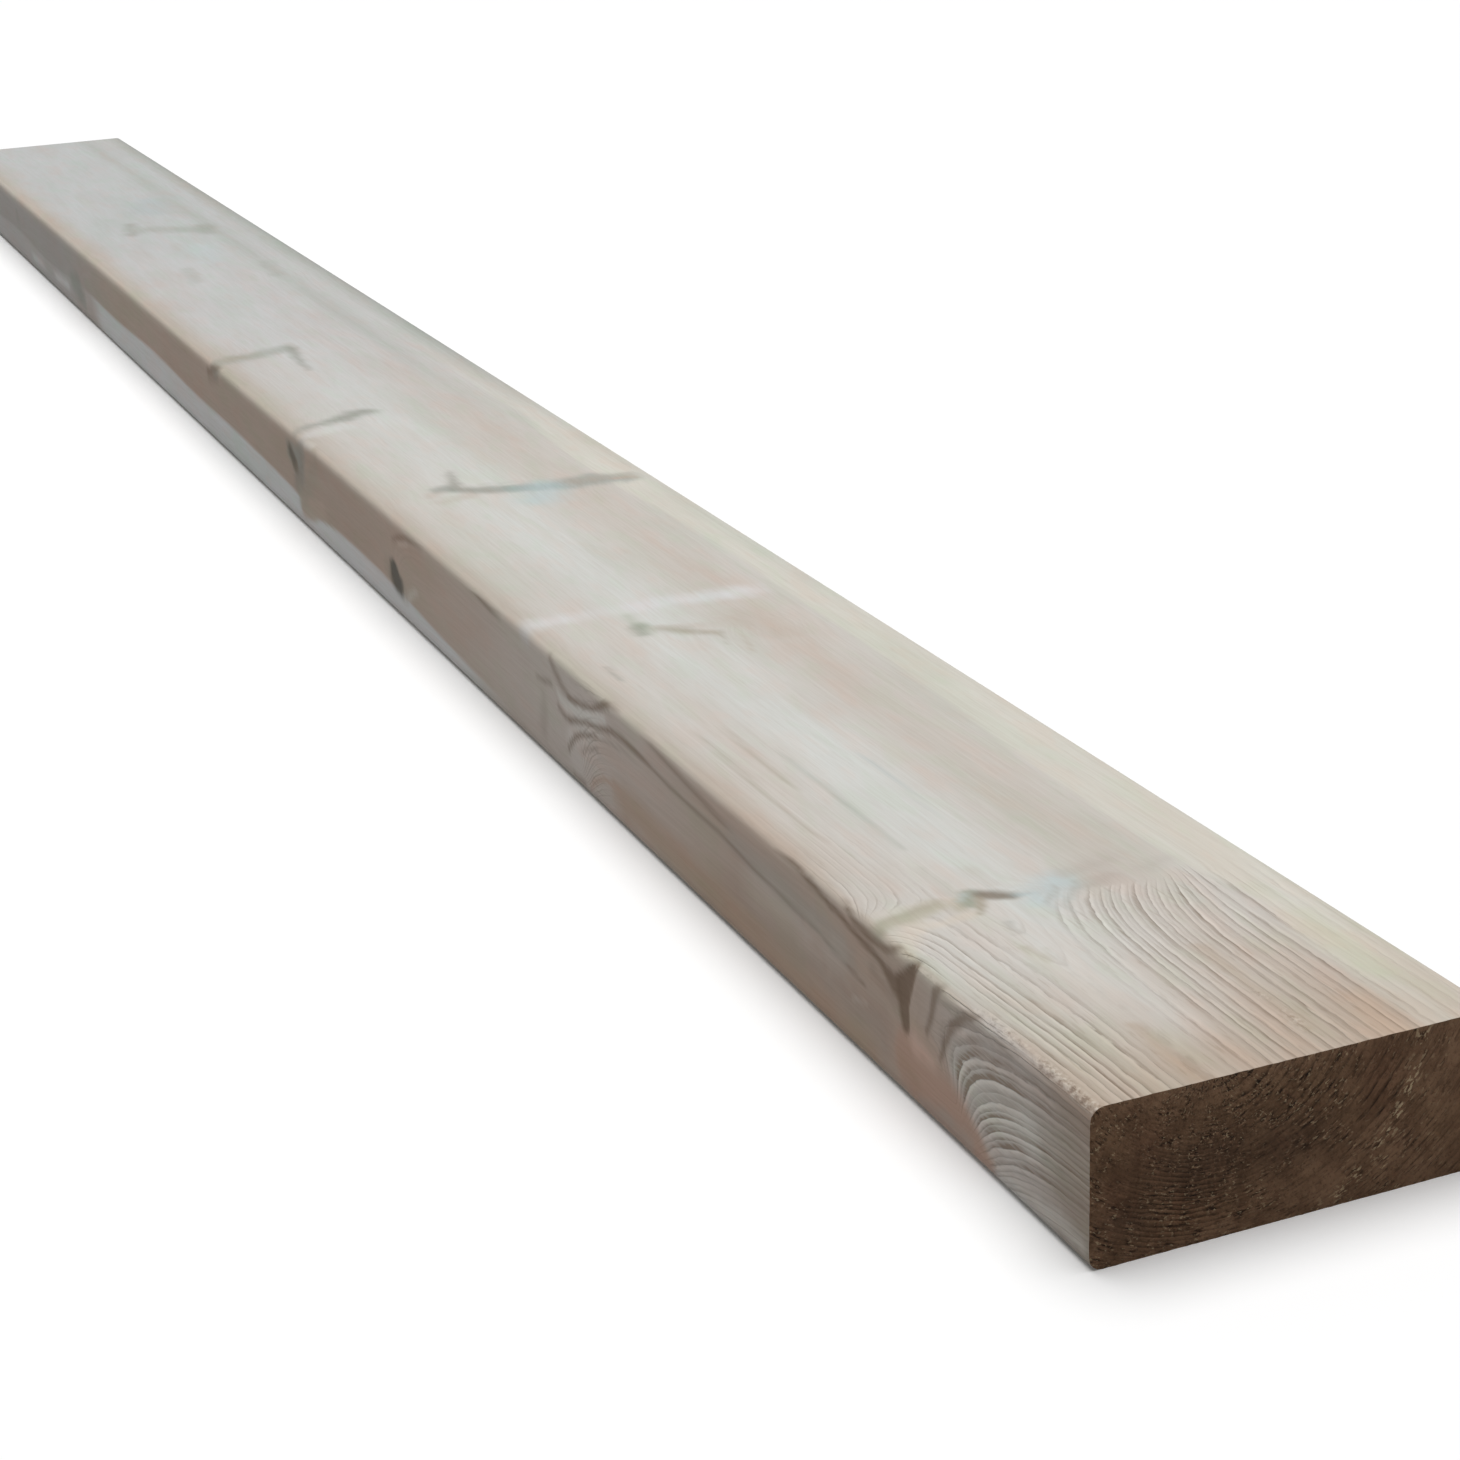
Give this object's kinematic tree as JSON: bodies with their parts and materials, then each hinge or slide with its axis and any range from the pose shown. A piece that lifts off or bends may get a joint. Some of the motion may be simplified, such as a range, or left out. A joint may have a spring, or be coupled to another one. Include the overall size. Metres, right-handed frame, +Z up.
{
  "type": "timber plank",
  "caption": "Straight treated softwood plank of rectangular section with eased long edges and square-cut ends, used as a joist, stud, rail or bearer.",
  "frame": {"origin": "middle of the wide bottom face that the plank lies on", "axes": "+X along the grain towards the end that the picture shows, +Y across the width, +Z up through the thickness"},
  "size_m": [1.8, 0.125, 0.047],
  "materials": {
    "treated_softwood": "planed, pressure treated, unsealed"
  },
  "bodies": {
    "root": {"plank": "treated_softwood"}
  },
  "joints": []
}
